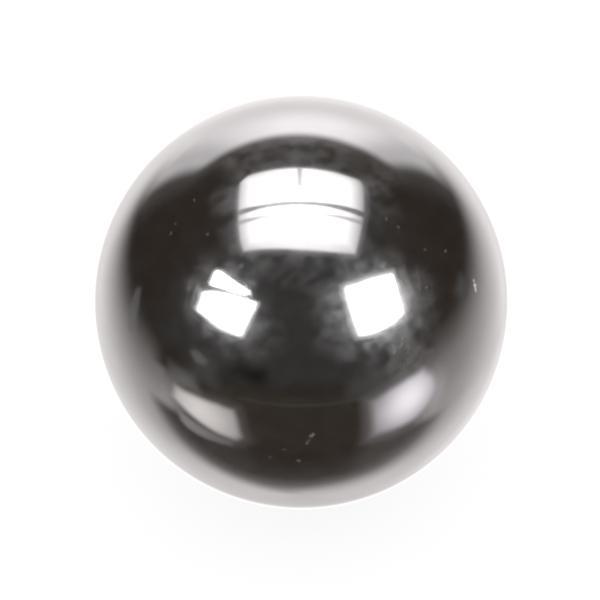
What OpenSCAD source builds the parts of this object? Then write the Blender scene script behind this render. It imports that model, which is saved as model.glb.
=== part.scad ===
// Steel ball
//
// One solid ball of hardened steel, ground and lapped to a true sphere and
// polished to a mirror. It has no flat, bore, seam or parting line.
// Lengths are in millimetres, +Z is up and the origin is the centre of the ball.

/* [Ball] */
// Diameter of the ball
ball_d = 25.4; // [3:0.1:100]

/* [Surface] */
// Number of facets round the ball where it is drawn as a mesh
facets = 180; // [36:12:360]

/* [Hidden] */

// Light, neutral grey of polished steel
polished_steel = [0.80, 0.79, 0.79];

// The ball, the same round surface all over
module ball() {
    color(polished_steel)
        sphere(d = ball_d, $fn = facets);
}

ball();
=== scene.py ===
"""A one-inch ball of mirror-polished steel, in the small studio that its finish shows.

A mirror ball takes its whole look from what stands round it, so the studio is built
as carefully as the ball. It has a pale floor, a dark room with a white backdrop, a
glossy table top, a softbox overhead and a lamp on each side. The room, the table top
and the lamps are seen by reflected rays only: they light nothing but the ball.

Lengths are metres in the frame of the CAD model, whose origin is the ball's centre.
Azimuth 0 points from the ball to the camera's side (-Y) and azimuth 90 to +X.
Light is linear, and 1 is white.
"""
import math

import bmesh
import bpy
import numpy as np
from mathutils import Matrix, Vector


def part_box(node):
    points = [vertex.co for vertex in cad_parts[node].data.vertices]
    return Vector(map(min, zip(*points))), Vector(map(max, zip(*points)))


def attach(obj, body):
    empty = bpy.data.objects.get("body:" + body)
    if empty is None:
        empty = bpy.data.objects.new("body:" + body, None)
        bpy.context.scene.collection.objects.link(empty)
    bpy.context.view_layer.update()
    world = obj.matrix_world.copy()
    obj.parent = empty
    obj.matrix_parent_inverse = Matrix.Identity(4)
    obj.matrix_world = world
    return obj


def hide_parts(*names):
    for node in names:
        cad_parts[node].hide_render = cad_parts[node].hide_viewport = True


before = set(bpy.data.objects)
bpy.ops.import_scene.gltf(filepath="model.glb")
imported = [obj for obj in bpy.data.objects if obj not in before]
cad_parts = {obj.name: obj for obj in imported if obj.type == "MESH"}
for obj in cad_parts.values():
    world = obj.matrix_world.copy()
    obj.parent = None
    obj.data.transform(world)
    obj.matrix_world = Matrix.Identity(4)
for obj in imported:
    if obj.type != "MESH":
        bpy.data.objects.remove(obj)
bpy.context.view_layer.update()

ball_low, ball_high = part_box("ball")
RADIUS = max(high - low for low, high in zip(ball_low, ball_high)) / 2
MM = 0.001

# Camera
IMAGE_SIDE = 600  # pixels
BALL_CENTRE_PX = (301.2, 301.8)
BALL_RADIUS_PX = 207.5
VIEW_ELEVATION = 44.5  # degrees that the camera looks down
CAMERA_DISTANCE = 0.45
SENSOR_WIDTH = 36.0  # in millimetres, as Blender takes it

# Ball
PATCH_CELLS = 96  # quads along each side of the six patches
MAP_COLUMNS = 3  # patches beside each other in the texture map
MAP_MARGIN = 0.01  # round each patch, as a share of its square
WELD_DISTANCE = RADIUS * 1e-5

# Polish. From here to the floor, lengths are in millimetres and a pair of numbers is a range.
STEEL = (0.60, 0.595, 0.59)
WORN_STEEL = (0.56, 0.55, 0.54)
WEAR_SIZE = 5.0
WEAR_NOISE = (0.35, 0.65)  # from unworn to worn
WEAR_SHARE = 0.5  # how far the worn colour takes over
ROUGHNESS = (0.065, 0.09)  # from clean polish to the haziest

# Hairlines
HAIRLINE_TURNS = (-40, 15, 70)  # degrees
HAIRLINE_WIDTH = 0.06
HAIRLINE_LENGTH = 4.0
HAIRLINE_NOISE = (0.64, 0.72)  # from no line to a full one
HAIRLINE_STRENGTH = 0.15
HAIRLINE_DEPTH = 0.001

# Greasy marks on the polish: azimuth, elevation, reach and how thick they are
SMUDGES = (
    (-56, 65, 1.6, 0.75), (-39, 59, 1.35, 0.42), (-81, 79, 2.4, 0.55), (180, 89.5, 2.8, 0.58),
    (80, 79, 2.4, 0.33), (72, 67.5, 1.8, 0.6), (53, 60, 1.8, 0.25), (82, 62, 1.5, 0.15),
    (-1, 56, 2.75, 0.3), (-21, 54, 1.5, 0.42), (23, 53, 1.8, 0.42), (10, 44.5, 1.8, 0.72),
    (11, 35, 1.8, 0.5), (43, 38, 2.1, 0.82), (42, 29, 2.1, 0.25), (33, 27, 1.5, 1.1),
    (36, 23.5, 1.35, 1.15), (21, 27.5, 2.1, 0.2), (-42, 41, 1.1, 0.38), (-13, 35, 1.8, 0.22),
    (-24, 30, 1.35, 0.22), (30, 22, 1.3, 1.05), (-74, 71, 1.1, 0.7), (-86, 70, 1, 0.7),
    (62, 69, 1.1, 0.95), (49, 65, 1, 0.3), (-32, 56, 0.9, 0.6), (36, 50, 1.1, 0.38),
    (34, 32, 1, 1.25), (-40, 36, 1, 0.18), (-30, 32, 1, 0.22), (14, 30, 1.1, 0.75),
    (11, 40, 1, 0.9), (43, 50, 1, 0.2), (-42, 47, 1, 0.2), (-29, 50, 1, 0.25),
    (28, 30, 1, 0.6), (37, 34, 0.9, 1.15), (31, 56, 1, 0.5), (29, 27, 0.6, 1.9),
    (33, 23, 0.8, 2.3), (40, 31, 0.6, 1.6), (25.5, 30.5, 0.7, 1), (21.5, 29.5, 0.7, 0.7),
    (-37.5, 33, 0.7, 0.35), (-21, 47.5, 0.7, 0.3), (35.5, 19.5, 0.7, 0.9), (-17, 31.5, 1, 0.3),
    (43, 45, 0.7, 0.35), (40, 21, 0.8, 0.6), (19, 48, 0.6, 0.5), (-13, 30.5, 1.6, 0.26),
    (150, 10, 4, 0.7), (-140, 35, 3.5, 0.8), (170, -30, 4, 0.5), (-100, -10, 3, 0.5),
    (110, -25, 3, 0.6), (-160, -55, 3.5, 0.5),
)
THIN_GREASE = 0.09  # what is left on the rest of the ball
DAB_SIZE = 0.8
DAB_DETAIL = 1.6
DAB_SHARE = 0.65  # of the grease's pattern, and wipes make up the rest
WIPE_TURN = -35  # degrees
WIPE_WIDTH = 0.3
WIPE_LENGTH = 1.2
PATTERN_NOISE = (0.36, 0.64)  # from thinned grease to thickened
PATTERN_FACTOR = (0.4, 1.36)  # what the thickness is multiplied by there
HAZE_GAIN = 1.1  # how fast thicker grease turns to haze
HAZE_FILM = 0.085  # how much of the bare metal the thickest haze covers

# Pale specks on the polish, most of them dust: azimuth, elevation, size and how much it covers
SPECKS = (
    (2.7, 5.2, 0.24, 0.19), (3.2, 5.8, 0.2, 0.16), (1.6, 2.6, 0.2, 0.1), (2, 3.8, 0.16, 0.12),
    (-4.6, -0.1, 0.2, 0.1), (-0.7, -4.2, 0.24, 0.1), (-8.5, -3.6, 0.2, 0.07), (-71, 57.7, 0.18, 0.15),
    (-49.5, 54.7, 0.16, 0.15), (-65, 47.2, 0.18, 0.15), (-66.8, 49.7, 0.16, 0.12), (51.6, 59.2, 0.18, 0.16),
    (53.7, 55.4, 0.18, 0.16), (57, 45.8, 0.16, 0.15), (64.5, 40.9, 0.18, 0.18), (48.5, 37.8, 0.18, 0.18),
    # the first three specks below overlap into one larger, paler fleck near azimuth 67 and elevation 27
    (67.9, 27.8, 0.24, 0.5), (67.3, 26.6, 0.3, 0.8), (66.6, 25.7, 0.26, 0.6), (-26.7, 51.5, 0.24, 0.16),
    (-43.6, 39.7, 0.24, 0.16), (150, 20, 0.2, 0.2), (-150, -5, 0.24, 0.2), (120, -40, 0.2, 0.2),
    (175, 50, 0.18, 0.2), (-110, 25, 0.18, 0.2),
)
DUST = (0.52, 0.50, 0.48)
DUST_ROUGHNESS = 0.8
SPECK_CORE = 0.2  # share of its size within which a speck is full
SPECK_END = 0.8  # and past which there is none
RAGGED_SCALE = 6.0  # features to the millimetre in the noise that makes the specks ragged
RAGGED_SHIFT = 0.25
NOISE_MIDDLE = 0.5

# Floor
FLOOR_SIDE = 3.0
FLOOR_GLOW = 0.88  # light of its own, so that the floor stays near white in the shade
FLOOR_PAINT = 0.16  # what it adds where the light reaches it

# Room, as the ball sees it. From here to the lamps, a pair of numbers is the range over which a light or a
# shade comes in, in degrees, unless its comment says otherwise.
ROOM_RADIUS = 1.0
ROOM_STEP = 0.5  # degrees between the points of the room's shell
GREY_DARK = (0.042, 0.041, 0.039)
WARM_DARK = (0.034, 0.026, 0.020)
WARM_SIDES = (60, 95)  # azimuths to either side
WARM_LEVEL = 20  # elevation of the warm dark's middle
WARM_SPREAD = (45, 20)  # above and below that level

# Backdrop. A wash is an amount of light and the ranges over which it comes in: of degrees across from the
# backdrop's middle, of height above the horizon, and of degrees from its glow.
WHITE_WALL = (1.0, 0.965, 0.985)
BACKDROP_MIDDLE = 181.2  # azimuth
BACKDROP_HALF = 38.0  # degrees from its middle to its side edges
BACKDROP_FLARE = 0.6  # degrees that are added to that at its foot
FLARE_HEIGHTS = (14, 0)
BACKDROP_TOP = 29.4  # elevation of its top edge, at its middle
BACKDROP_LEAN = 3.7  # degrees by which a quarter turn to the right raises that edge
CLOTH_BLUR = {"side": (4.3, 4.6), "top": (4.2, 3.8)}  # outside and inside each edge
SPILL_BLUR = {"side": (18, 4), "top": (14, 2)}  # of the light that the cloth spills round itself
CLOTH_SHARE = 0.88
BACKDROP_LIGHT = 0.72
BACKDROP_GLOW = -4  # degrees from its middle to its glow under the softbox
BACKDROP_WASHES = (
    (0.32, {"across": (32, 18)}),
    (0.43, {"height": (-3, 20), "from_glow": (33, 5)}),
)

# Table top. Its ranges are of the measures that table_measures explains.
TABLE_WHITE = (1.0, 0.965, 0.975)
TABLE_TILT = 3.0  # degrees by which the table top is higher on the right
TABLE_DEPTHS = (0.1, 89)  # least and most depth at which places on it are worked out
TABLE_LIGHT = 0.42
TABLE_WASHES = (
    (0.59, {"side": (79, 145)}),
    (0.1, {"side": (160, 174), "depth": (8, 18)}),
    (0.045, {"depth": (26, 36)}),
    (-0.16, {"side": (108, 138), "depth": (34, 46)}),
    (0.09, {"right": (0.1, 0.5), "depth": (15, 27), "side": (125, 150)}),
)
UNDER_BALL_LIGHT = 0.82
UNDER_BALL = {"depth": (51, 75)}
BEHIND_BALL_LIGHT = 0.77
BEHIND_BALL = {"side": (140, 165), "depth": (22, 42)}
FALL_REACH = 2.75  # ball radii to either side at which its light is halved
FALL_POWER = 2.6
FALL_END = (136, 161)  # azimuths to either side at which it stops falling
FALL_END_LEFT = 3.5  # degrees sooner, a quarter turn to the left
FALL_END_RIGHT = 2.0  # degrees later, a quarter turn to the right
FALL_END_FAR = 4.0  # degrees sooner where the table top is far off
FAR_DEPTHS = (9, 0)
LEFT_END = (71.5, 84)  # azimuths at which its light starts on the left
LEFT_END_DEPTHS = (17, 22)  # depths past which that no longer holds
TABLE_START = -2  # depth at which the table top starts to show
TABLE_FULL = (8, 4)  # depths at which it shows in full, in front and at the back
TABLE_FULL_SIDES = (128, 142)

# Dark reflections in the glossy table top, in front of the ball and under it. Ahead is in ball radii.
DARK_END = (59, 77)  # azimuths to either side at which the dark in front of the ball ends
MIRROR_EDGE = 41.5  # depth from which its light goes by how far ahead the place is
MIRROR_EDGE_TURN = 2.6  # degrees that a quarter turn to the right adds to that
MIRROR_BLUR = 3  # degrees to either side of that edge
MIRROR_WASHES = (
    (0.05, {"ahead": (0.9, 0.3)}),
    (0.27, {"ahead": (0.4, 0.05)}),
    (0.68, {"ahead": (0.23, -0.06)}),
)
SHEEN_LIGHT = 0.065  # of a faint sheen to either side, under the ball
SHEEN_TURN = 0.03  # light that a quarter turn to the right adds to it
SHEEN = {"side": (25, 45), "depth": (70, 55)}
RIM_WHITE = 1.3  # light of the table top in the ball's outermost rim
RIM_ANGLES = (23, 10)  # from the direction straight away from the camera

# Front edge of the table top
FRONT_EDGE = -14.4  # elevation
FRONT_WARMTH = (0.0115, 0.009, 0.0075)
FRONT_SIDES = (62, 40)  # azimuths to either side, for the warmth and the line's sheen
FRONT_BLUR = (0.5, 0.5)  # above and below the edge
FRONT_FOOT = (-60, -38)  # elevations over which the warmth ends
LINE_LIGHT = (0.030, 0.034, 0.028)
LINE_HALF = (1.1, 0.2)  # above and below the edge
LINE_SIDES = (34, 26)
LINE_SHEEN = 0.3  # share of the line's light
LINE_SHEEN_RISE = 3  # degrees from the edge up to the middle of its sheen
LINE_SHEEN_HALF = (5, 0)

# Lamps
LAMP_DISTANCE = 0.76
SEAM_DISTANCE = LAMP_DISTANCE - 0.004
LEAST_FACING = 0.1  # cosine of the widest angle from square on at which a direction meets a board
HALO_REACH = 0.12  # how far the glossy table blurs the lamps' images
LAMP_TINT = (1.0, 0.98, 0.995)
LAMP_LIGHT = 12.0
LEFT_LAMP_WAY = (-50, 30)  # azimuth and elevation
RIGHT_LAMP_WAY = (51, 31)
SOFTBOX_WAY = (0, 90)
SOFTBOX_LIGHT = 3.4  # at its middle

# Soft borders of the lamps: rings from the outside in, each with its share of the way from the outline
# to the middle, and the most light that it has
LEFT_BORDER = ((-0.09, 0.12), (-0.008, 0.5), (0.11, 1.8))
RIGHT_BORDER = ((-0.2, 0.08), (-0.006, 0.62), (0.075, 1.8))
SOFTBOX_BORDER = ((-0.12, 0.03), (0.0, 0.2), (0.05, 1.8))
BORDER_END = 0.01  # share of the way from the last ring to the one with the corners' full light
INNER_RING = 0.25  # share of the way in for the ring that takes on the middle's light
INNER_LIGHT = 0.55  # share of the middle's light that it has at least

# Outlines of the side lamps: how far right and up each corner is
LEFT_FLAP = (
    (-0.2, 0.04), (-0.225, 0.14), (-0.2, 0.163), (-0.16, 0.167), (-0.065, 0.172), (0.02, 0.178),
    (0.125, 0.178), (0.12, 0.162), (0.07, 0.135), (0.01, 0.11), (-0.045, 0.095), (-0.105, 0.075),
)
LEFT_LAMP = (
    (-0.2, -0.16), (-0.224, -0.03), (-0.15, 0.025), (-0.055, 0.07), (0.02, 0.1), (0.085, 0.12),
    (0.205, 0.155), (0.212, 0.11), (0.215, -0.138), (0.14, -0.154), (0.03, -0.169), (-0.1, -0.16),
)
RIGHT_LAMP = (
    (-0.15, 0.239), (-0.04, 0.197), (0.05, 0.172), (0.238, 0.09), (0.211, 0.03), (0.187, -0.055),
    (0.167, -0.13), (0.145, -0.18), (0.055, -0.195), (-0.02, -0.19), (-0.125, -0.176), (-0.238, -0.139),
    (-0.223, 0.0), (-0.195, 0.105),
)

# Outline of the softbox: how far right and up each corner is, and its light
SOFTBOX = (
    (-0.458, 0.44, 1.1), (-0.458, 0.53, 1.2), (-0.34, 0.525, 1.4), (-0.01, 0.506, 2.1), (0.3, 0.492, 1.5),
    (0.441, 0.496, 0.9), (0.46, 0.435, 0.85), (0.465, 0.14, 0.85), (0.445, -0.235, 1.05),
    (0.215, -0.25, 1.5), (-0.01, -0.243, 1.7), (-0.295, -0.215, 1.5), (-0.475, -0.207, 0.95),
    (-0.485, -0.09, 1.05), (-0.47, 0.145, 1.15),
)

# Its seams: how far right and up each point is, the seam's width there and its light
SOFTBOX_SEAMS = {
    "long_seam": (
        (-0.465, 0.152, 0.05, 0.5), (-0.37, 0.148, 0.043, 0.4), (-0.29, 0.144, 0.03, 0.35),
        (-0.22, 0.141, 0.03, 0.75), (0.0, 0.135, 0.03, 0.75), (0.14, 0.134, 0.03, 0.6),
        (0.2, 0.135, 0.034, 0.4), (0.35, 0.135, 0.047, 0.3), (0.455, 0.135, 0.05, 0.15)),
    "left_seam": ((-0.475, 0.062, 0.04, 0.6), (-0.32, 0.056, 0.026, 0.9), (-0.168, 0.056, 0.01, 1.5)),
    "right_seam": (
        (0.08, 0.052, 0.01, 1.5), (0.265, 0.055, 0.024, 0.9), (0.42, 0.056, 0.036, 0.65),
        (0.455, 0.056, 0.04, 0.4)),
    "back_seam": ((-0.01, 0.505, 0.03, 0.75), (-0.01, 0.4, 0.03, 0.95), (-0.01, 0.285, 0.028, 1.2)),
}

# Patches of light in the room. Each lies on a board that faces the ball, in the direction of its way: an
# azimuth and elevation. Softness is the width of its edge. Bright and dim are its light at its middle and
# at the reach from there, and halo is the light just outside it.

# The lamps' images in the glossy table top: the left one, a dim streak under it, and the right one
LAMP_IMAGES = (
    {
        "way": (-49, -33), "softness": 0.065, "tint": (1.0, 0.95, 0.94),
        "outline": ((-0.215, 0.095), (-0.06, 0.12), (0.08, 0.13), (0.19, 0.115), (0.194, 0.045),
                    (0.175, -0.11), (0.13, -0.14), (0.03, -0.113), (-0.232, 0.003)),
        "middle": (-0.05, 0.02), "bright": 1.08, "dim": 0.5, "reach": 0.3, "halo": 0.07,
    },
    {
        "way": (-49, -33), "softness": 0.05, "tint": (1.0, 0.93, 0.95),
        "outline": ((-0.2, -0.075), (0.11, -0.165), (0.08, -0.21), (-0.075, -0.21), (-0.16, -0.195),
                    (-0.2, -0.16)),
        "middle": (-0.15, -0.13), "bright": 0.34, "dim": 0.2, "reach": 0.25,
    },
    {
        "way": (53, -27), "softness": 0.08, "tint": (1.0, 0.96, 1.02),
        "outline": ((-0.24, 0.1), (-0.11, 0.15), (0.025, 0.17), (0.145, 0.16), (0.213, 0.06),
                    (0.248, -0.055), (0.195, -0.13), (0.11, -0.185), (-0.15, -0.2)),
        "middle": (0.035, 0.015), "bright": 1.5, "dim": 0.4, "reach": 0.29, "halo": 0.12,
    },
)

# Dim things in the room
ROOM_THINGS = (
    # A dark gap ahead on the left
    {
        "way": (-28, 1), "softness": 0.09, "tint": (1.1, 1.0, 0.8),
        "outline": ((-0.11, 0.06), (0.15, 0.09), (0.15, -0.07), (-0.11, -0.06)),
        "middle": (0.04, 0.0), "bright": 0.012, "dim": 0.02, "reach": 0.17,
    },
    # A faint glow over each lamp's image
    {
        "way": (36, -7), "softness": 0.12, "tint": (1.0, 0.95, 0.9),
        "outline": ((-0.17, 0.06), (0.15, 0.08), (0.15, -0.09), (-0.17, -0.09)),
        "middle": (0.0, 0.0), "bright": 0.085, "dim": 0.08, "reach": 0.2,
    },
    {
        "way": (-50, -6), "softness": 0.12, "tint": (1.0, 0.97, 0.93),
        "outline": ((-0.08, 0.09), (0.08, 0.09), (0.1, -0.1), (-0.1, -0.1)),
        "middle": (0.0, 0.0), "bright": 0.07, "dim": 0.07, "reach": 0.2,
    },
    # A small panel below the left lamp
    {
        "way": (-53.5, -1), "softness": 0.03, "tint": (1.0, 0.97, 0.96),
        "outline": ((-0.087, -0.017), (-0.039, 0.021), (0.063, -0.002), (0.055, -0.044), (-0.019, -0.063)),
        "middle": (0.0, -0.02), "bright": 0.16, "dim": 0.13, "reach": 0.1,
    },
    # A bar at the table's left end
    {
        "way": (-99, -14), "softness": 0.03, "tint": (1.0, 0.96, 0.97),
        "outline": ((-0.054, 0.105), (-0.016, 0.143), (0.026, 0.075), (0.044, -0.058), (-0.015, -0.11),
                    (-0.054, 0.0)),
        "middle": (0.0, -0.11), "bright": 0.23, "dim": 0.13, "reach": 0.22,
    },
    # A grey strip over its right end
    {
        "way": (101, -4), "softness": 0.08, "tint": (0.98, 1.0, 0.97),
        "outline": ((-0.07, 0.05), (0.04, 0.05), (0.07, -0.05), (-0.04, -0.05)),
        "middle": (0.0, 0.0), "bright": 0.1, "dim": 0.1, "reach": 0.1,
    },
    # A sheen on the table beside the left lamp's image
    {
        "way": (-62, -17), "softness": 0.09, "tint": (1.0, 0.96, 0.93),
        "outline": ((-0.11, 0.03), (0.1, 0.06), (0.12, -0.05), (-0.11, -0.07)),
        "middle": (0.02, -0.05), "bright": 0.18, "dim": 0.11, "reach": 0.16,
    },
)


def direction(azimuth, elevation):
    """The unit vector from the ball towards an azimuth and elevation in degrees."""
    turn, rise = math.radians(azimuth), math.radians(elevation)
    return Vector((math.cos(rise) * math.sin(turn), -math.cos(rise) * math.cos(turn), math.sin(rise)))


def soft(value, start, end):
    """Rises smoothly from 0 at start to 1 at end."""
    step = np.clip((value - start) / (end - start), 0.0, 1.0)
    return step * step * (3.0 - 2.0 * step)


def within(value, edge, blur):
    """Falls smoothly from 1 inside an edge to 0 past it. The blur is how far out and in it reaches."""
    outside, inside = blur
    return soft(value, edge + outside, edge - inside)


def progress(at, ranges):
    """How far each measure has come through its range, multiplied together."""
    together = 1.0
    for name, (start, end) in ranges.items():
        together = together * soft(at[name], start, end)
    return together


def washed(light, washes, at):
    """Adds washes to a light. Each is an amount of light and the ranges over which it comes in."""
    for amount, ranges in washes:
        light = light + amount * progress(at, ranges)
    return light


def ways_to(azimuth, elevation):
    """The unit vectors towards arrays of azimuths and elevations in degrees."""
    turn, rise = np.radians(azimuth), np.radians(elevation)
    return np.stack((np.cos(rise) * np.sin(turn), -np.cos(rise) * np.cos(turn), np.sin(rise)), axis=-1)


def apart(azimuth, elevation, from_azimuth, from_elevation):
    """The angles in degrees between arrays of directions and one direction."""
    alike = ways_to(azimuth, elevation) @ np.array(direction(from_azimuth, from_elevation))
    return np.degrees(np.arccos(np.clip(alike, -1.0, 1.0)))


def blend(first, second, share):
    """Goes from first to second as share goes from 0 to 1."""
    return first + (second - first) * share


def new_object(name, data):
    """Puts a mesh or a camera into the scene as an object."""
    made = bpy.data.objects.new(name, data)
    bpy.context.scene.collection.objects.link(made)
    return made


def new_mesh(name, points, faces):
    """A mesh of points, and of faces that count them from 0."""
    mesh = bpy.data.meshes.new(name)
    mesh.from_pydata(points, [], faces)
    return mesh


def only_reflected(piece):
    """Makes a piece part of the stage, and lets only reflected rays see it."""
    piece.visible_camera = False
    piece.visible_diffuse = False
    piece.visible_transmission = False
    piece.visible_volume_scatter = False
    piece.visible_shadow = False


# Camera and world

def add_camera():
    """A long lens that looks down on the ball."""
    ball_angle = math.asin(RADIUS / CAMERA_DISTANCE)
    half_view = math.atan(math.tan(ball_angle) * IMAGE_SIDE / 2 / BALL_RADIUS_PX)
    data = bpy.data.cameras.new("camera")
    data.sensor_width = SENSOR_WIDTH
    data.lens = SENSOR_WIDTH / 2 / math.tan(half_view)
    camera = new_object("camera", data)
    bpy.context.scene.camera = camera
    camera.location = direction(0, VIEW_ELEVATION) * CAMERA_DISTANCE
    pixel = CAMERA_DISTANCE * math.tan(half_view) / (IMAGE_SIDE / 2)
    to_right = direction(90, 0)
    to_top = direction(180, 90 - VIEW_ELEVATION)
    aim = to_right * pixel * (IMAGE_SIDE / 2 - BALL_CENTRE_PX[0])
    aim += to_top * pixel * (BALL_CENTRE_PX[1] - IMAGE_SIDE / 2)
    camera.rotation_euler = (aim - camera.location).to_track_quat("-Z", "Y").to_euler()


def add_world():
    """Plain white light all round. Reflected rays meet the room instead."""
    world = bpy.data.worlds.new("world")
    bpy.context.scene.world = world
    world.use_nodes = True
    background = world.node_tree.nodes["Background"]
    background.inputs["Color"].default_value = (1, 1, 1, 1)
    background.inputs["Strength"].default_value = 1.0
    world.cycles_visibility.glossy = False


# Materials

def new_material(name):
    """A material with no nodes but its output, given as the material, its tree and the output."""
    material = bpy.data.materials.new(name)
    material.use_nodes = True
    tree = material.node_tree
    tree.nodes.clear()
    return material, tree, tree.nodes.new("ShaderNodeOutputMaterial")


def add_node(tree, kind, inputs=None, **settings):
    """Adds a shader node. An input is either a value or the output socket that feeds it."""
    node = tree.nodes.new("ShaderNode" + kind)
    for name, value in settings.items():
        setattr(node, name, value)
    for name, value in (inputs or {}).items():
        if isinstance(value, bpy.types.NodeSocket):
            tree.links.new(value, node.inputs[name])
        else:
            node.inputs[name].default_value = value
    return node


def glow_material(name, sampled):
    """Shines with the light that is painted on the mesh. Sampled ones are aimed at as lamps."""
    material, tree, output = new_material(name)
    paint = add_node(tree, "Attribute", attribute_name="glow")
    shine = add_node(tree, "Emission", {"Color": paint.outputs["Color"]})
    tree.links.new(shine.outputs["Emission"], output.inputs["Surface"])
    material.cycles.emission_sampling = "FRONT_BACK" if sampled else "NONE"
    return material


def floor_material():
    """A pale floor that keeps a faint shadow, and that can be looked through from below."""
    material, tree, output = new_material("pale_floor")
    paint = add_node(tree, "BsdfDiffuse", {"Color": (FLOOR_PAINT, FLOOR_PAINT, FLOOR_PAINT, 1)})
    shine = add_node(tree, "Emission", {"Strength": FLOOR_GLOW})
    top = add_node(tree, "AddShader", {0: paint.outputs["BSDF"], 1: shine.outputs["Emission"]})
    clear = add_node(tree, "BsdfTransparent")
    below = add_node(tree, "NewGeometry").outputs["Backfacing"]
    mix = add_node(tree, "MixShader", {0: below, 1: top.outputs["Shader"], 2: clear.outputs["BSDF"]})
    tree.links.new(mix.outputs["Shader"], output.inputs["Surface"])
    return material


def maths(tree, operation, *values):
    """One step of arithmetic between sockets and numbers."""
    return add_node(tree, "Math", dict(enumerate(values)), operation=operation).outputs["Value"]


def smooth_step(tree, value, start, end, low=0.0, high=1.0):
    """Goes smoothly from low to high as a value goes from start to end."""
    limits = {"Value": value, "From Min": start, "From Max": end, "To Min": low, "To Max": high}
    return add_node(tree, "MapRange", limits, interpolation_type="SMOOTHSTEP").outputs["Result"]


def cloud(tree, where, size, detail=2.0):
    """Soft noise with features of about the given size in millimetres."""
    settings = {"Vector": where, "Scale": 1 / size, "Detail": detail, "Roughness": 0.6}
    return add_node(tree, "TexNoise", settings).outputs["Fac"]


def strokes(tree, where, turn, width, length):
    """Noise drawn out into strokes of a width and length in millimetres, at an angle in degrees."""
    tilted = add_node(tree, "VectorRotate", {
        "Vector": where, "Axis": direction(0, VIEW_ELEVATION), "Angle": math.radians(turn)})
    drawn = add_node(tree, "VectorMath", {
        0: tilted.outputs["Vector"], 1: (1 / length, 1 / width, 1 / width)}, operation="MULTIPLY")
    return cloud(tree, drawn.outputs["Vector"], 1.0)


def near(tree, where, azimuth, elevation, inner, outer):
    """1 within the inner distance of a place on the ball and 0 past the outer one, in millimetres."""
    place = direction(azimuth, elevation) * RADIUS / MM
    away = add_node(tree, "VectorMath", {0: where, 1: place}, operation="DISTANCE").outputs["Value"]
    return smooth_step(tree, away, inner, outer, 1.0, 0.0)


def smudge_mask(tree, where):
    """How thick the grease is: 0 where the polish is clean, 1 where it is hazy, more where milky."""
    thick = 0.0
    for azimuth, elevation, reach, amount in SMUDGES:
        mark = maths(tree, "MULTIPLY", near(tree, where, azimuth, elevation, 0.0, reach), amount)
        thick = maths(tree, "MAXIMUM", thick, mark)
    dabs = cloud(tree, where, DAB_SIZE, DAB_DETAIL)
    wipes = strokes(tree, where, WIPE_TURN, WIPE_WIDTH, WIPE_LENGTH)
    dabs_part = maths(tree, "MULTIPLY", dabs, DAB_SHARE)
    wipes_part = maths(tree, "MULTIPLY", wipes, 1 - DAB_SHARE)
    broken = maths(tree, "ADD", dabs_part, wipes_part)
    patches = smooth_step(tree, broken, *PATTERN_NOISE, *PATTERN_FACTOR)
    return maths(tree, "MULTIPLY", patches, maths(tree, "ADD", thick, THIN_GREASE))


def speck_mask(tree, where):
    """How much the pale specks cover, from 0 to 1."""
    noise = add_node(tree, "TexNoise", {"Vector": where, "Scale": RAGGED_SCALE, "Detail": 1.0})
    offset = add_node(tree, "VectorMath", {
        0: noise.outputs["Color"], 1: [NOISE_MIDDLE] * 3}, operation="SUBTRACT")
    moved = add_node(tree, "VectorMath", {
        0: offset.outputs["Vector"], 1: [RAGGED_SHIFT] * 3, 2: where}, operation="MULTIPLY_ADD")
    ragged = moved.outputs["Vector"]
    cover = 0.0
    for azimuth, elevation, size, amount in SPECKS:
        speck = near(tree, ragged, azimuth, elevation, SPECK_CORE * size, SPECK_END * size)
        cover = maths(tree, "MAXIMUM", cover, maths(tree, "MULTIPLY", speck, amount))
    return cover


def hairlines(tree, where):
    """Surface normals with very fine wiping scratches."""
    lines = 0.0
    for turn in HAIRLINE_TURNS:
        stroke = strokes(tree, where, turn, HAIRLINE_WIDTH, HAIRLINE_LENGTH)
        lines = maths(tree, "MAXIMUM", lines, smooth_step(tree, stroke, *HAIRLINE_NOISE))
    bump = add_node(tree, "Bump", {
        "Height": lines, "Strength": HAIRLINE_STRENGTH, "Distance": HAIRLINE_DEPTH * MM})
    return bump.outputs["Normal"]


def mix_colours(tree, share, first, second):
    """Goes from the first colour to the second as share goes from 0 to 1."""
    mix = add_node(tree, "Mix", {"Factor": share}, data_type="RGBA")
    # The node's sockets for numbers, vectors and colours share their names, so those for colours go by place
    for socket, colour in ((mix.inputs[6], first), (mix.inputs[7], second)):
        if isinstance(colour, bpy.types.NodeSocket):
            tree.links.new(colour, socket)
        else:
            socket.default_value = (*colour, 1)
    return mix.outputs[2]


def steel_material():
    """Mirror-polished steel with greasy smudges, hairline scratches and a few specks of dust."""
    material, tree, output = new_material("polished_steel")
    place = add_node(tree, "TexCoord").outputs["Object"]
    where = add_node(tree, "VectorMath", {0: place, "Scale": 1 / MM}, operation="SCALE").outputs["Vector"]
    smudges = smudge_mask(tree, where)
    dust = speck_mask(tree, where)
    worn = smooth_step(tree, cloud(tree, where, WEAR_SIZE), *WEAR_NOISE)
    steel_colour = mix_colours(tree, maths(tree, "MULTIPLY", worn, WEAR_SHARE), STEEL, WORN_STEEL)
    clean = maths(tree, "SUBTRACT", 1.0, dust)
    haze = maths(tree, "TANH", maths(tree, "MULTIPLY", smudges, HAZE_GAIN))
    film = maths(tree, "MULTIPLY", haze, HAZE_FILM)
    polish = smooth_step(tree, haze, 0.0, 1.0, *ROUGHNESS)
    steel = add_node(tree, "BsdfPrincipled", {
        "Base Color": mix_colours(tree, dust, steel_colour, DUST),
        "Metallic": maths(tree, "SUBTRACT", clean, film),
        "Roughness": maths(tree, "MAXIMUM", polish, maths(tree, "MULTIPLY", dust, DUST_ROUGHNESS)),
        "Normal": hairlines(tree, where),
        "Coat Weight": maths(tree, "MULTIPLY", haze, clean),
        "Coat Roughness": 0.30,
        "Coat IOR": 2.2,
    })
    tree.links.new(steel.outputs["BSDF"], output.inputs["Surface"])
    return material


# Ball

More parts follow.
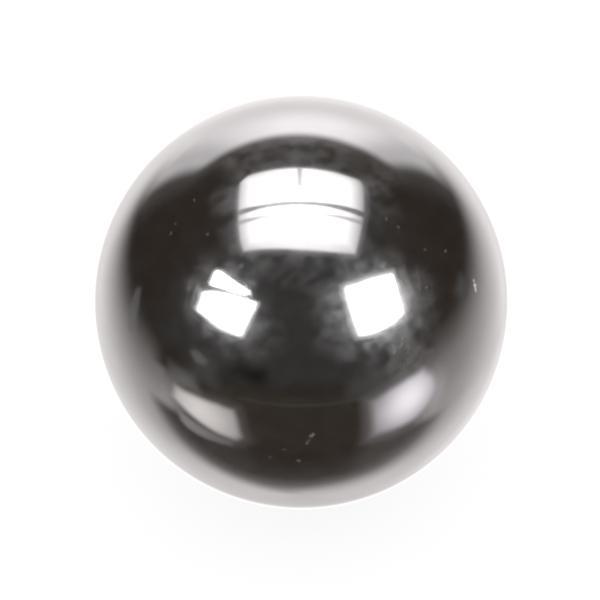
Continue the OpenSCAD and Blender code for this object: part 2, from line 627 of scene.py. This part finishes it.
def patch_points(right, up, out):
    """A square of the ball's surface: unit vectors on a grid, evenly spaced in angle."""
    steps = np.tan(np.linspace(-math.pi / 4, math.pi / 4, PATCH_CELLS + 1))
    across, along = np.meshgrid(steps, steps)
    points = out + across[..., None] * right + along[..., None] * up
    return (points / np.linalg.norm(points, axis=2, keepdims=True)).reshape(-1, 3)


def patch_quads():
    """The corners of a patch's quads, counted along its rows of points."""
    row = PATCH_CELLS + 1
    cell = np.arange(PATCH_CELLS)
    low = (cell[:, None] * row + cell).ravel()
    return np.stack((low, low + 1, low + row + 1, low + row), axis=1)


def patch_island(patch, quads):
    """A patch's square in the texture map, three across and two up, with a margin round it."""
    row = PATCH_CELLS + 1
    place = np.stack((quads % row, quads // row), axis=2) / PATCH_CELLS
    square = MAP_MARGIN + (1 - 2 * MAP_MARGIN) * place
    return (square + (patch % MAP_COLUMNS, patch // MAP_COLUMNS)) / MAP_COLUMNS


def ball_mesh():
    """A sphere of six square patches, welded along their borders."""
    axes = np.eye(3)
    points, faces, islands = [], [], []
    for patch in range(6):
        axis, sign = patch // 2, 1 - 2 * (patch % 2)
        out, right, up = axes[axis] * sign, axes[(axis + 1) % 3], axes[(axis + 2) % 3] * sign
        quads = patch_quads()
        faces.append(quads + sum(len(made) for made in points))
        points.append(patch_points(right, up, out) * RADIUS)
        islands.append(patch_island(patch, quads))
    mesh = new_mesh("polished_ball", np.concatenate(points).tolist(), np.concatenate(faces).tolist())
    texture_map = mesh.uv_layers.new(name="OFBake")
    texture_map.data.foreach_set("uv", np.concatenate(islands).astype(np.float32).ravel())
    work = bmesh.new()
    work.from_mesh(mesh)
    bmesh.ops.remove_doubles(work, verts=work.verts, dist=WELD_DISTANCE)
    work.to_mesh(mesh)
    work.free()
    mesh.shade_smooth()
    return mesh


def add_ball():
    """The polished ball in place of the CAD model's plain one."""
    mesh = ball_mesh()
    mesh.materials.append(steel_material())
    ball = new_object("polished_ball", mesh)
    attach(ball, "root")
    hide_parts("ball")


# Floor and room

def add_floor():
    """The pale floor that the ball stands on."""
    half = FLOOR_SIDE / 2
    corners = [(x, y, -RADIUS) for x, y in ((-half, -half), (half, -half), (half, half), (-half, half))]
    mesh = new_mesh("floor", corners, [(0, 1, 2, 3)])
    mesh.materials.append(floor_material())
    floor = new_object("floor", mesh)
    floor.visible_glossy = False


def dark_room(azimuth, elevation):
    """The unlit room: warm and darkest to the sides, greyer in front."""
    to_side = soft(np.abs(azimuth), *WARM_SIDES) * soft(np.abs(elevation - WARM_LEVEL), *WARM_SPREAD)
    return blend(np.array(GREY_DARK), np.array(WARM_DARK), to_side[..., None])


def with_backdrop(light, azimuth, elevation):
    """Hangs the white backdrop behind the ball. It is brightest under the softbox."""
    offset = (azimuth - BACKDROP_MIDDLE + 180) % 360 - 180
    across = np.abs(offset)
    rise = np.tan(np.radians(BACKDROP_TOP)) * np.cos(np.radians(offset))
    top_edge = np.degrees(np.arctan(rise)) - BACKDROP_LEAN * np.sin(np.radians(offset))
    side_edge = BACKDROP_HALF + BACKDROP_FLARE * soft(elevation, *FLARE_HEIGHTS)
    cloth, spill = [
        within(across, side_edge, blur["side"]) * within(elevation, top_edge, blur["top"])
        for blur in (CLOTH_BLUR, SPILL_BLUR)]
    here = blend(spill, cloth, CLOTH_SHARE)
    at = {"across": across, "height": elevation, "from_glow": np.abs(offset - BACKDROP_GLOW)}
    shade = washed(BACKDROP_LIGHT, BACKDROP_WASHES, at)
    return blend(light, shade[..., None] * np.array(WHITE_WALL), here[..., None])


def table_measures(azimuth, elevation):
    """The measures that the light of the table top goes by, for each direction.

    Side is the azimuth to either side, left the azimuth to the left, depth how far below the horizon it
    points and tilted_depth how far below the tilted table's horizon, all in degrees. Right is the sine of
    the azimuth. Beside and ahead say where it meets the table top, in ball radii from the ball's foot.
    """
    right = np.sin(np.radians(azimuth))
    tilted_depth = TABLE_TILT * right - elevation
    drop = np.tan(np.radians(np.clip(tilted_depth, *TABLE_DEPTHS)))
    return {
        "side": np.abs(azimuth), "left": -azimuth, "right": right,
        "depth": -elevation, "tilted_depth": tilted_depth,
        "beside": np.abs(right) / drop, "ahead": np.cos(np.radians(azimuth)) / drop,
    }


def open_table(at):
    """The light of the table top, white towards the backdrop and dimmer far out to the sides."""
    shade = washed(TABLE_LIGHT, TABLE_WASHES, at)
    shade = blend(shade, UNDER_BALL_LIGHT, progress(at, UNDER_BALL))
    shade = blend(shade, BEHIND_BALL_LIGHT, progress(at, BEHIND_BALL))
    turn = np.where(at["right"] > 0, FALL_END_RIGHT, FALL_END_LEFT) * at["right"]
    toward_back = at["side"] - turn + FALL_END_FAR * soft(at["tilted_depth"], *FAR_DEPTHS)
    fall = 1 / (1 + (at["beside"] / FALL_REACH) ** FALL_POWER)
    shade = shade * blend(fall, 1.0, soft(toward_back, *FALL_END))
    left_end = np.maximum(soft(at["left"], *LEFT_END), soft(at["depth"], *LEFT_END_DEPTHS))
    return shade * np.where(at["left"] > 0, left_end, 1.0)


def table_mirror(at):
    """How much of its light the table top keeps where it mirrors the dark room or lies under the ball."""
    beside_dark = soft(at["side"], *DARK_END)
    under_ball = washed(0.0, MIRROR_WASHES, at)
    under_ball = under_ball + (SHEEN_LIGHT + SHEEN_TURN * at["right"]) * progress(at, SHEEN)
    edge = MIRROR_EDGE + MIRROR_EDGE_TURN * at["right"]
    below_edge = soft(at["depth"], edge - MIRROR_BLUR, edge + MIRROR_BLUR)
    return blend(beside_dark, under_ball, below_edge)


def with_table(light, azimuth, elevation):
    """Lays the table top: white behind and beside the ball, a dark reflection in front of it."""
    at = table_measures(azimuth, elevation)
    shade = open_table(at) * table_mirror(at)
    from_rim = apart(azimuth, elevation, 180, -VIEW_ELEVATION)
    shade = blend(shade, RIM_WHITE, soft(from_rim, *RIM_ANGLES))
    table = shade[..., None] * np.array(TABLE_WHITE) + np.array(WARM_DARK)
    full = blend(*TABLE_FULL, soft(at["side"], *TABLE_FULL_SIDES))
    return blend(light, table, soft(at["tilted_depth"], TABLE_START, full)[..., None])


def with_table_front(light, azimuth, elevation):
    """Draws the front edge of the table top as a faint line, with a warmer dark below it."""
    side = np.abs(azimuth)
    above = elevation - FRONT_EDGE
    ahead = soft(side, *FRONT_SIDES)
    line = soft(np.abs(above), *LINE_HALF) * soft(side, *LINE_SIDES)
    sheen = soft(np.abs(above - LINE_SHEEN_RISE), *LINE_SHEEN_HALF) * ahead
    below = within(elevation, FRONT_EDGE, FRONT_BLUR) * soft(elevation, *FRONT_FOOT)
    light = light + (ahead * below)[..., None] * np.array(FRONT_WARMTH)
    return light + (line + LINE_SHEEN * sheen)[..., None] * np.array(LINE_LIGHT)


def room_light(azimuth, elevation):
    """The light that comes to the ball from each direction, apart from that of the lamps."""
    light = dark_room(azimuth, elevation)
    light = with_backdrop(light, azimuth, elevation)
    light = with_table(light, azimuth, elevation)
    light = with_table_front(light, azimuth, elevation)
    for patch in ROOM_THINGS + LAMP_IMAGES:
        light = with_patch(light, azimuth, elevation, **patch)
    return light


def paint_glow(mesh, light):
    """Paints light on a mesh, one colour for each of its points."""
    colours = np.concatenate((light, np.ones((len(light), 1))), axis=1)
    glow = mesh.attributes.new("glow", "FLOAT_COLOR", "POINT")
    glow.data.foreach_set("color", colours.astype(np.float32).ravel())


def add_room():
    """A shell round the ball, painted with the room as the ball sees it."""
    columns = round(360 / ROOM_STEP)
    rows = round(180 / ROOM_STEP) + 1
    azimuth, elevation = np.meshgrid(np.arange(columns) * ROOM_STEP - 180, np.linspace(-90, 90, rows))
    low = np.arange((rows - 1) * columns).reshape(rows - 1, columns)
    beside = np.roll(low, -1, axis=1)
    faces = np.stack((low, beside, beside + columns, low + columns), axis=2)
    points = ways_to(azimuth, elevation).reshape(-1, 3) * ROOM_RADIUS
    mesh = new_mesh("room", points.tolist(), faces.reshape(-1, 4).tolist())
    paint_glow(mesh, room_light(azimuth, elevation).reshape(-1, 3))
    mesh.materials.append(glow_material("room_light", sampled=False))
    only_reflected(new_object("room", mesh))


# Lamps

class Board:
    """A flat board that faces the ball, with places on it in metres to the right and up."""

    def __init__(self, azimuth, elevation):
        self.out = direction(azimuth, elevation)
        self.right = direction(azimuth + 90, 0)
        self.up = self.out.cross(self.right)

    def place(self, right, up, distance=LAMP_DISTANCE):
        """The point of the board that is so far right and up."""
        return self.out * distance + self.right * right + self.up * up

    def seen(self, azimuth, elevation):
        """How far right and up on the board each direction points, and whether it meets it."""
        ways = ways_to(azimuth, elevation)
        facing = ways @ np.array(self.out)
        reach = LAMP_DISTANCE / np.maximum(facing, LEAST_FACING)
        right = ways @ np.array(self.right) * reach
        up = ways @ np.array(self.up) * reach
        return right, up, facing > LEAST_FACING


def with_patch(light, azimuth, elevation, way, outline, softness, tint, middle, bright, dim, reach,
               halo=0.0):
    """Lays a patch of light with a soft edge over what is there, and adds a halo round it.

    Its light goes from bright at its middle to dim at the reach and past it.
    """
    right, up, met = Board(*way).seen(azimuth, elevation)
    inside = np.full(right.shape, np.inf)
    for start, end in zip(outline, outline[1:] + outline[:1]):
        run, rise = end[0] - start[0], end[1] - start[1]
        distance = ((right - start[0]) * rise - (up - start[1]) * run) / math.hypot(run, rise)
        inside = np.minimum(inside, distance)
    here = soft(inside, -softness / 2, softness / 2) * met
    from_middle = np.hypot(right - middle[0], up - middle[1])
    shade = blend(bright, dim, soft(from_middle, 0, reach))
    around = halo * soft(inside, -HALO_REACH, 0.0) * met
    light = light + around[..., None] * np.array(tint)
    return blend(light, shade[..., None] * np.array(tint), here[..., None])


def shining_mesh(name, points, faces, lights):
    """A mesh that shines with the given light at each of its points."""
    mesh = new_mesh(name, points, faces)
    paint_glow(mesh, np.array(lights)[:, None] * np.array(LAMP_TINT))
    mesh.materials.append(glow_material(name, sampled=True))
    only_reflected(new_object(name, mesh))


def add_sheet(name, board, outline, border, middle_light):
    """A lit sheet. Each corner of its outline is how far right and up it is, and its light.

    Inside the soft border the light rises from that of the corners to that of the middle.
    """
    corners = [board.place(right, up) for right, up, light in outline]
    middle = sum(corners, Vector()) / len(corners)
    full = [light for right, up, light in outline]
    rings = [(way_in, [min(light, most) for light in full]) for way_in, most in border]
    rings.append((border[-1][0] + BORDER_END, full))
    rings.append((INNER_RING, [max(light, middle_light * INNER_LIGHT) for light in full]))
    points, lights = [], []
    for way_in, ring in rings:
        points += [corner.lerp(middle, way_in) for corner in corners]
        lights += ring
    count = len(corners)
    faces = []
    for first in range(0, len(points) - count, count):
        for side in range(count):
            beside = (side + 1) % count
            faces.append((first + side, first + beside, first + count + beside, first + count + side))
    last = len(points) - count
    faces += [(last + side, last + (side + 1) % count, len(points)) for side in range(count)]
    shining_mesh(name, points + [middle], faces, lights + [middle_light])


def add_seam(name, board, line):
    """A dim seam just under a sheet. Each point is how far right and up it is, its width and its light."""
    run, rise = line[-1][0] - line[0][0], line[-1][1] - line[0][1]
    across = (-rise / math.hypot(run, rise), run / math.hypot(run, rise))
    points, lights = [], []
    for right, up, width, light in line:
        for side in (-width / 2, width / 2):
            points.append(board.place(right + side * across[0], up + side * across[1], SEAM_DISTANCE))
            lights.append(light)
    faces = [(first, first + 2, first + 3, first + 1) for first in range(0, len(points) - 2, 2)]
    shining_mesh(name, points, faces, lights)


def add_lamp(name, board, outline, border):
    """A lamp with the same light all over, apart from its soft border."""
    add_sheet(name, board, [(right, up, LAMP_LIGHT) for right, up in outline], border, LAMP_LIGHT)


def add_left_lamp():
    """The left lamp: its face, and the flap that has come loose above it."""
    board = Board(*LEFT_LAMP_WAY)
    add_lamp("left_flap", board, LEFT_FLAP, LEFT_BORDER)
    add_lamp("left_lamp", board, LEFT_LAMP, LEFT_BORDER)


def add_right_lamp():
    """The right lamp, whose lower corner is rounded."""
    add_lamp("right_lamp", Board(*RIGHT_LAMP_WAY), RIGHT_LAMP, RIGHT_BORDER)


def add_softbox():
    """The softbox overhead, dimmer at its edges, with seams across it."""
    board = Board(*SOFTBOX_WAY)
    add_sheet("softbox", board, SOFTBOX, SOFTBOX_BORDER, SOFTBOX_LIGHT)
    for name, line in SOFTBOX_SEAMS.items():
        add_seam(name, board, line)


add_camera()
add_world()
add_ball()
add_floor()
add_room()
add_left_lamp()
add_right_lamp()
add_softbox()
bpy.context.scene.view_settings.view_transform = "Standard"
